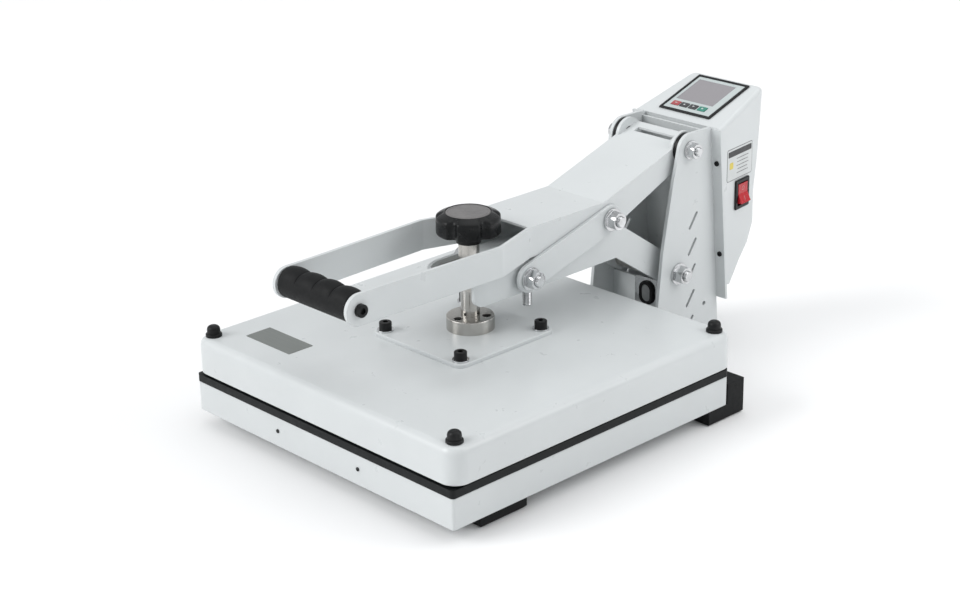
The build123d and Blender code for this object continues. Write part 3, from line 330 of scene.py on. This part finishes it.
def make_piece(name, verts, faces, finish, body, smooth=True, turn=None):
    """A mesh object in the row frame that rides on a body."""
    mesh = bpy.data.meshes.new(name)
    mesh.from_pydata([tuple(v) for v in verts], [], faces)
    if turn is not None:
        mesh.transform(turn)
    skin = bmesh.new()
    skin.from_mesh(mesh)
    bmesh.ops.remove_doubles(skin, verts=skin.verts, dist=MERGE_DISTANCE)
    bmesh.ops.recalc_face_normals(skin, faces=skin.faces)
    skin.to_mesh(mesh)
    skin.free()
    mesh.materials.append(finish)
    for face in mesh.polygons:
        face.use_smooth = smooth
    if smooth:
        mesh.set_sharp_from_angle(angle=SHARP_ANGLE)
    piece = bpy.data.objects.new(name, mesh)
    bpy.context.scene.collection.objects.link(piece)
    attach(piece, body)
    return piece


def grid_solid(rings):
    """Verts and faces of a closed skin through rings of equal length, capped at both ends."""
    count = len(rings[0])
    verts = [point for ring in rings for point in ring]
    faces = []
    for row in range(len(rings) - 1):
        for col in range(count):
            after = (col + 1) % count
            faces.append((row * count + col, row * count + after,
                          (row + 1) * count + after, (row + 1) * count + col))
    faces.append(tuple(range(count - 1, -1, -1)))
    last = (len(rings) - 1) * count
    faces.append(tuple(range(last, last + count)))
    return verts, faces


def join_solids(*solids):
    """Verts and faces of several separate skins as one mesh."""
    verts, faces = [], []
    for more_verts, more_faces in solids:
        base = len(verts)
        verts.extend(more_verts)
        faces.extend(tuple(i + base for i in face) for face in more_faces)
    return verts, faces


def threaded_rod(start, end, radius, at, pitch, threads, chamfer=0.001):
    """A rod along X; threads lists the (from, to) stretches that carry a helical thread."""
    count = 40
    depth = THREAD_DEPTH * pitch
    stations = [start, start + chamfer]
    x = start + chamfer
    while x < end - chamfer:
        cut = any(low <= x <= high for low, high in threads)
        x += pitch / THREAD_STEPS if cut else PLAIN_STEP
        stations.append(min(x, end - chamfer))
    stations.append(end)
    rings = []
    for x in stations:
        cut = any(low <= x <= high for low, high in threads)
        edge = x in (start, end)
        ring = []
        for step in range(count):
            angle = 2 * pi * step / count
            r = radius - (chamfer if edge else 0.0)
            if cut and not edge:
                phase = (x / pitch - step / count) % 1.0
                r -= depth * abs(2 * phase - 1)
            ring.append((x, at[0] + r * cos(angle), at[1] + r * sin(angle)))
        rings.append(ring)
    return grid_solid(rings)


def bolt_across(name, node, size, body, length):
    """Replace a plain bolt across the machine with one threaded at both ends."""
    radius, pitch = size
    low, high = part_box(node)
    at = ((low.y + high.y) / 2, (low.z + high.z) / 2)
    threads = [(low.x, low.x + length), (high.x - length, high.x)]
    verts, faces = threaded_rod(low.x, high.x, radius, at, pitch, threads)
    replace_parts(make_piece(name, verts, faces, ZINC, body), node)


# ---------------------------------------------------------------- camera and light
# The view of the photograph, in the row frame: a long lens from the front right.
AZIMUTH = radians(46.73)
ELEVATION = radians(21.477)
ROLL = radians(-1.18)
DISTANCE = 1.98405
TARGET = Vector((0.01923, -0.10135, 0.13572))
FOCAL_PIXELS = 1984.67
IMAGE_WIDTH = 960


def place_camera():
    """The photograph's view; the roll turns the camera about its own line of sight."""
    back = Vector((sin(AZIMUTH) * cos(ELEVATION), -cos(AZIMUTH) * cos(ELEVATION), sin(ELEVATION)))
    right = Vector((cos(AZIMUTH), sin(AZIMUTH), 0.0))
    up = back.cross(right)
    rolled_right = cos(ROLL) * right + sin(ROLL) * up
    rolled_up = cos(ROLL) * up - sin(ROLL) * right
    turn = Matrix((rolled_right, rolled_up, back)).transposed()
    data = bpy.data.cameras.new("camera")
    data.sensor_width = 36.0
    data.lens = FOCAL_PIXELS * data.sensor_width / IMAGE_WIDTH
    data.clip_start = 0.05
    data.clip_end = 30.0
    camera = bpy.data.objects.new("camera", data)
    camera.matrix_world = Matrix.Translation(TARGET + back * DISTANCE) @ turn.to_4x4()
    bpy.context.scene.collection.objects.link(camera)
    bpy.context.scene.camera = camera


def area_light(name, position, aim, size, power):
    """A rectangular soft box that faces a point."""
    data = bpy.data.lights.new(name, "AREA")
    data.shape = "RECTANGLE"
    data.size, data.size_y = size
    data.energy = power
    light = bpy.data.objects.new(name, data)
    light.location = position
    direction = Vector(aim) - Vector(position)
    light.rotation_euler = direction.to_track_quat("-Z", "Y").to_euler()
    bpy.context.scene.collection.objects.link(light)


def broad_light(name, source, angle, power):
    """A very large far soft box, which lights the floor evenly."""
    data = bpy.data.lights.new(name, "SUN")
    data.angle = radians(angle)
    data.energy = power
    light = bpy.data.objects.new(name, data)
    light.rotation_euler = (-Vector(source)).to_track_quat("-Z", "Y").to_euler()
    bpy.context.scene.collection.objects.link(light)


FLOOR_HALF = 20.0
FLOOR_GAP = 0.5 * MM          # the floor lies this far under the feet


def make_stage():
    """Even white surroundings, two broad lights, a weak fill from the rear right, and the floor."""
    world = bpy.data.worlds.new("studio")
    world.use_nodes = True
    shade = world.node_tree.nodes["Background"]
    shade.inputs["Color"].default_value = (0.97, 0.985, 1.0, 1.0)
    shade.inputs["Strength"].default_value = 0.62
    bpy.context.scene.world = world
    bpy.context.scene.view_settings.view_transform = "Standard"

    broad_light("key", (-1.2, -2.2, 1.6), 35.0, 1.6)
    broad_light("top", (0.3, 0.6, 3.0), 60.0, 0.7)
    area_light("fill", (0.9, 0.5, 0.8), (0.0, 0.15, 0.15), (0.6, 0.6), 3.3)

    half = FLOOR_HALF
    mesh = bpy.data.meshes.new("floor")
    mesh.from_pydata([(-half, -half, 0), (half, -half, 0), (half, half, 0), (-half, half, 0)],
                     [], [(0, 1, 2, 3)])
    mesh.materials.append(stage_paper())
    floor = bpy.data.objects.new("floor", mesh)
    floor.location.z = -FLOOR_GAP
    bpy.context.scene.collection.objects.link(floor)


# ---------------------------------------------------------------- bolts
M10 = (5.0 * MM, 1.5 * MM)            # radius and pitch
M12 = (6.0 * MM, 1.75 * MM)
M10_THREAD = 13.0 * MM                # length of thread at each end
M12_THREAD = 15.0 * MM
TOE_BOLT_IN = 8.7 * MM                # how far a toe bolt reaches in from its link's outer face


def make_bolts():
    """The pivot bolts with their threads, and the two short bolts at the links' toe."""
    bolt_across("lever_rod_threaded", "lever_pivot_rod", M10, "base", M10_THREAD)
    bolt_across("arm_bolt_threaded", "arm_pivot_bolt", M12, "base", M12_THREAD)
    bolt_across("link_bolt_threaded", "link_pivot_bolt", M12, "lever", M12_THREAD)

    low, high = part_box("toe_bolts")
    at = ((low.y + high.y) / 2, (low.z + high.z) / 2)
    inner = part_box("link_plates")[1].x - TOE_BOLT_IN
    radius, pitch = M12
    right = threaded_rod(inner, high.x, radius, at, pitch, [(high.x - M12_THREAD, high.x)])
    left = threaded_rod(low.x, -inner, radius, at, pitch, [(low.x, low.x + M12_THREAD)])
    verts, faces = join_solids(left, right)
    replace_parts(make_piece("toe_bolts_threaded", verts, faces, ZINC, "links"), "toe_bolts")


def make_levelling_bolts():
    """The two hanging stop bolts, threaded all the way, each with its lock nut."""
    low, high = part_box("levelling_bolts")
    radius, pitch, chamfer = 5.2 * MM, 1.5 * MM, 0.8 * MM
    nut_corner = 7.5                  # mm
    nut_profile = [(0.0, nut_corner - 0.4), (0.4, nut_corner), (3.1, nut_corner), (3.5, nut_corner - 0.5)]
    nut_bottom = high.z - 4.0 * MM
    y = (low.y + high.y) / 2
    reach = (high.x - low.x) / 2 - nut_corner * MM
    solids = []
    for x in (-reach, reach):
        rod, skin = threaded_rod(low.z, high.z, radius, (0.0, 0.0), pitch, [(low.z, high.z)], chamfer)
        # the rod is made along X and stood up along Z
        solids.append(([(x - p[2], y + p[1], p[0]) for p in rod], skin))
        nut = []
        for level, r in nut_profile:
            nut.append([(x + r * MM * cos(pi * k / 3), y + r * MM * sin(pi * k / 3),
                         nut_bottom + level * MM) for k in range(6)])
        solids.append(grid_solid(nut))
    verts, faces = join_solids(*solids)
    piece = make_piece("levelling_bolts_threaded", verts, faces, ZINC, "arm")
    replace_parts(piece, "levelling_bolts")


# ---------------------------------------------------------------- knob
KNOB_LOBES = 6
KNOB_TURN = radians(-43.0)
KNOB_R = 33.2                 # mm, like the hollows below
HOLLOW_R = 5.6
HOLLOW_OUT = 1.5              # how far outside the rim a hollow's centre is
HOLLOW_SOFT = radians(2.8)    # the hollows' edges are rounded over this angle


def knob_dent(angle):
    """Depth in mm of the round hollows under the knob's full outline, with softened edges."""
    pitch = 2 * pi / KNOB_LOBES
    centre = KNOB_R + HOLLOW_OUT
    samples = 7
    total = 0.0
    for step in range(samples):
        near = angle + HOLLOW_SOFT * (2 * step / (samples - 1) - 1) - KNOB_TURN
        off = near % pitch - pitch / 2
        across = centre * sin(off)
        if abs(across) < HOLLOW_R:
            total += max(0.0, KNOB_R - centre * cos(off) + (HOLLOW_R ** 2 - across ** 2) ** 0.5)
    return total / samples


def make_knob():
    """Lobed knob: stem, lobed rim, sloping top, and a recessed cap with a turned groove."""
    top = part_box("pressure_knob")[1].z
    centre = middle("pressure_screw")
    count = 360
    # depth under the top in mm, share of the hollows' depth, radius in mm
    profile = [(32.5, 0.0, 12.0), (32.0, 0.0, 12.5), (25.0, 0.0, 12.5), (23.4, 0.0, 14.5),
               (22.8, 0.25, 20.0), (22.5, 0.75, 29.0), (21.5, 0.96, 32.3), (19.6, 1.0, KNOB_R),
               (7.4, 1.0, KNOB_R), (5.4, 0.985, 32.9), (4.0, 0.95, 32.0), (2.4, 0.75, 29.4),
               (1.0, 0.35, 25.8), (0.2, 0.05, 24.1), (0.0, 0.0, 23.6), (0.25, 0.0, 23.0),
               (1.3, 0.0, 22.8)]
    angles = [2 * pi * step / count for step in range(count)]
    dents = [knob_dent(angle) for angle in angles]
    rings = []
    for depth, share, radius in profile:
        ring = []
        for angle, dent in zip(angles, dents):
            r = (radius - dent * share) * MM
            ring.append((centre.x + r * cos(angle), centre.y + r * sin(angle), top - depth * MM))
        rings.append(ring)
    verts, faces = grid_solid(rings)
    body = make_piece("knob_lobed", verts, faces, PLASTIC, "knob")
    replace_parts(body, "pressure_knob")

    cap_profile = [(1.25, 22.6), (0.55, 22.6), (0.35, 22.3), (0.35, 20.6), (0.6, 20.3),
                   (0.6, 19.7), (0.35, 19.4), (0.35, 9.0), (0.3, 0.4)]
    cap_count = 96
    turns = [2 * pi * k / cap_count for k in range(cap_count)]
    rings = [[(centre.x + r * MM * cos(turn), centre.y + r * MM * sin(turn), top - depth * MM)
              for turn in turns] for depth, r in cap_profile]
    verts, faces = grid_solid(rings)
    make_piece("knob_cap", verts, faces, KNOB_CAP, "knob")


# ---------------------------------------------------------------- grip
GRIP_CORE = 14.5 * MM
GRIP_SWELLS = 4
SWELL_HEIGHT = 3.6 * MM
SWELL_CREST = radians(74)             # where the swells stand, from the rear round to the top
SWELL_FULLNESS = 0.45                 # under 1, the swells are broad and the notches narrow
GRIP_EDGE = 2.6 * MM                  # length of the rounded shoulder at each end
EDGE_DROP = 0.13                      # share of the radius lost at the very end


def make_grip():
    """Rubber sleeve: a round core with four finger swells along its top."""
    low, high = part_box("handle_grip")
    rod_low, rod_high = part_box("handle_rod")
    cy = (rod_low.y + rod_high.y) / 2
    cz = (rod_low.z + rod_high.z) / 2
    half = (high.x - low.x) / 2
    stations, count = 132, 72
    rings = []
    for row in range(stations + 1):
        x = -half + 2 * half * row / stations
        end = min(half - abs(x), GRIP_EDGE) / GRIP_EDGE
        shoulder = 1.0 - EDGE_DROP * (1.0 - end) ** 2
        wave = abs(sin(GRIP_SWELLS * pi * row / stations)) ** SWELL_FULLNESS
        ring = []
        for step in range(count):
            angle = 2 * pi * step / count
            facing = max(0.0, cos(angle - SWELL_CREST))
            r = (GRIP_CORE + SWELL_HEIGHT * facing * wave) * shoulder
            ring.append((x, cy + r * cos(angle), cz + r * sin(angle)))
        rings.append(ring)
    verts, faces = grid_solid(rings)
    piece = make_piece("grip_sleeve", verts, faces, RUBBER, "lever")
    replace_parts(piece, "handle_grip")


# ---------------------------------------------------------------- labels and switch marks
def rounded_outline(width, height, radius, steps=6):
    """Points of a rounded rectangle round the origin."""
    points = []
    for cx, cy, first in ((1, 1, 0), (-1, 1, 90), (-1, -1, 180), (1, -1, 270)):
        for step in range(steps + 1):
            angle = radians(first + 90 * step / steps)
            points.append((cx * (width / 2 - radius) + radius * cos(angle),
                           cy * (height / 2 - radius) + radius * sin(angle)))
    return points


def plate(name, place, width, height, radius, low, high, finish, body, slot, at=(0.0, 0.0)):
    """A thin rounded plate from low to high above a local plane, with a soft top edge."""
    inset = min(0.12 * MM, (high - low) * 0.4)
    rings = []
    for level, shrink in ((low, 0.0), (high - inset, 0.0), (high, inset)):
        ring = rounded_outline(width - 2 * shrink, height - 2 * shrink, max(radius - shrink, 1e-5))
        rings.append([(x + at[0], y + at[1], level) for x, y in ring])
    verts, faces = grid_solid(rings)
    return make_piece(name, verts, faces, finish, body, True, place)


SUNK = -0.1 * MM                      # labels start this far inside the wall they lie on
LABEL_FROM_MIDDLE = (-120.0 * MM, -138.5 * MM)
LABEL_SIZE = (70.0 * MM, 31.0 * MM)
LABEL_CORNER = 1.2 * MM


def make_cover_label():
    """Plain brushed label on the cover's front left corner."""
    cover_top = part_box("platen_cover")[1].z
    tray_low, tray_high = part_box("base_tray")
    mid_y = (tray_low.y + tray_high.y) / 2
    across, forward = LABEL_FROM_MIDDLE
    place = Matrix.Translation((across, mid_y + forward, cover_top))
    plate("cover_label", place, *LABEL_SIZE, LABEL_CORNER, SUNK, 0.3 * MM, LABEL, "platen",
          "cast_alloy")


def wall_frame(centre_y, centre_z):
    """Local plane on the control box's right-hand wall: X backwards, Y up, Z outwards."""
    joint = joints["rocker_turn"]
    along = Vector(joint["axis"]).normalized()
    out = Vector((along.y, -along.x, 0.0))
    anchor = Vector(joint["pos_m"])
    step = (centre_y - anchor.y) / along.y
    point = anchor + along * step
    point.z = centre_z
    turn = Matrix((along, Vector((0, 0, 1)), out)).transposed().to_4x4()
    return Matrix.Translation(point) @ turn


RATING_FROM_SWITCH = (-4.5 * MM, 37.0 * MM)     # backwards and up


def make_rating_label():
    """Pale label on the wall above the switch: dark header bar, rule lines, one yellow block."""
    switch = middle("switch_bezel")
    back, up = RATING_FROM_SWITCH
    place = wall_frame(switch.y + back, switch.z + up)
    width, height = 50 * MM, 35 * MM
    border = 0.8 * MM
    ink_low, ink_high = 0.2 * MM, 0.4 * MM
    where = ("base", "pale_plastic")
    plate("rating_border", place, width + 2 * border, height + 2 * border, 2.6 * MM, SUNK, 0.12 * MM,
          GREY_INSERT, *where)
    plate("rating_label", place, width, height, 1.8 * MM, SUNK, 0.25 * MM, PALE_INK, *where)
    plate("rating_header", place, width - 3 * MM, 6.5 * MM, 1.0 * MM, ink_low, ink_high, DARK_INK,
          *where, (0.0, 12.2 * MM))
    plate("rating_mark", place, 7.5 * MM, 7.5 * MM, 1.6 * MM, ink_low, ink_high, YELLOW_INK, *where,
          (-17.0 * MM, -1.0 * MM))
    for row, length in enumerate((24.0, 22.0, 25.0, 20.0, 23.0)):
        plate(f"rating_line_{row}", place, length * MM, 0.8 * MM, 0.3 * MM, ink_low, ink_high,
              GREY_INSERT, *where, (5.5 * MM, (5.0 - 4.1 * row) * MM))


def ring_mesh(name, place, radius, thick, finish, body):
    """A ring of flattened round section, lying in a local plane."""
    count, arc = 40, 10
    verts, faces = [], []
    for step in range(count):
        angle = 2 * pi * step / count
        for k in range(arc):
            turn = 2 * pi * k / arc
            r = radius + thick * cos(turn)
            verts.append((r * cos(angle), r * sin(angle), thick * 0.6 * sin(turn)))
    for step in range(count):
        for k in range(arc):
            a = step * arc + k
            b = step * arc + (k + 1) % arc
            c = ((step + 1) % count) * arc + (k + 1) % arc
            d = ((step + 1) % count) * arc + k
            faces.append((a, b, c, d))
    make_piece(name, verts, faces, finish, body, True, place)


ROCKER_TILT = radians(12.0)           # half of the switch's travel
ROCKER_FALL = atan2(2.4, 11.0)        # slope of each half of its face towards the middle
MARK_OUT = 3.8 * MM                   # the marks' height over the rocker's axis
MARK_APART = 5.6 * MM                 # and their distance from its middle


def make_switch_marks():
    """A moulded bar and ring on the rocker's two halves."""
    anchor = Vector(joints["rocker_turn"]["pos_m"])
    tilted = wall_frame(anchor.y, anchor.z) @ Matrix.Rotation(-ROCKER_TILT, 4, "X")

    def half_face(side):
        spot = Matrix.Translation((0, side * MARK_APART, MARK_OUT))
        return tilted @ spot @ Matrix.Rotation(side * ROCKER_FALL, 4, "X")

    plate("rocker_bar", half_face(-1), 1.0 * MM, 5.0 * MM, 0.4 * MM, -0.3 * MM, 0.25 * MM, ROCKER_INK,
          "rocker", "pale_plastic")
    ring_mesh("rocker_ring", half_face(1), 2.2 * MM, 0.45 * MM, ROCKER_INK, "rocker")


def key_frame(node):
    """Local plane on top of a key: X across, Y up the slope, Z outwards."""
    out = -Vector(joints["press_red"]["axis"]).normalized()
    across = Vector((1, 0, 0))
    up = out.cross(across)
    turn = Matrix((across, up, out)).transposed().to_4x4()
    centre = middle(node)
    verts = nodes[node].data.vertices
    heights = [(v.co - centre).dot(out) for v in verts]
    rises = [(v.co - centre).dot(up) for v in verts]
    sides = [v.co.x for v in verts]
    point = centre + out * max(heights) + up * (min(rises) + max(rises)) / 2
    point.x = (min(sides) + max(sides)) / 2
    return Matrix.Translation(point) @ turn


def make_key_marks():
    """Simple marks on the four keys: a bar, two arrows and a dot."""
    arrow = [(-1.5, -1.0), (1.5, -1.0), (0.0, 1.4)]
    marks = {"red": [(-1.6, -0.4), (1.6, -0.4), (1.6, 0.4), (-1.6, 0.4)],
             "left": arrow,
             "right": [(-x, -y) for x, y in arrow],
             "green": [(1.2 * cos(pi * k / 8), 1.2 * sin(pi * k / 8)) for k in range(16)]}
    for key, points in marks.items():
        place = key_frame(f"button_{key}")
        rings = [[(x * MM, y * MM, level) for x, y in points] for level in (SUNK, 0.15 * MM)]
        verts, faces = grid_solid(rings)
        make_piece(f"key_mark_{key}", verts, faces, PALE_INK, f"key_{key}", False, place)


GLAND_RECESS = 2.5 * MM


def make_gland_insert():
    """Grey insert in the recessed face of the cable boot."""
    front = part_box("cable_gland")[0].y
    centre = middle("cable_gland")
    turn = Matrix.Rotation(radians(90), 4, "X")
    place = Matrix.Translation((centre.x, front + GLAND_RECESS, centre.z)) @ turn
    plate("gland_insert", place, 12.6 * MM, 19.6 * MM, 6.0 * MM, -0.5 * MM, 1.2 * MM, GREY_INSERT,
          "base", "pale_plastic")


# ---------------------------------------------------------------- build
place_camera()
make_stage()
make_bolts()
make_levelling_bolts()
make_knob()
make_grip()
make_cover_label()
make_rating_label()
make_switch_marks()
make_key_marks()
make_gland_insert()
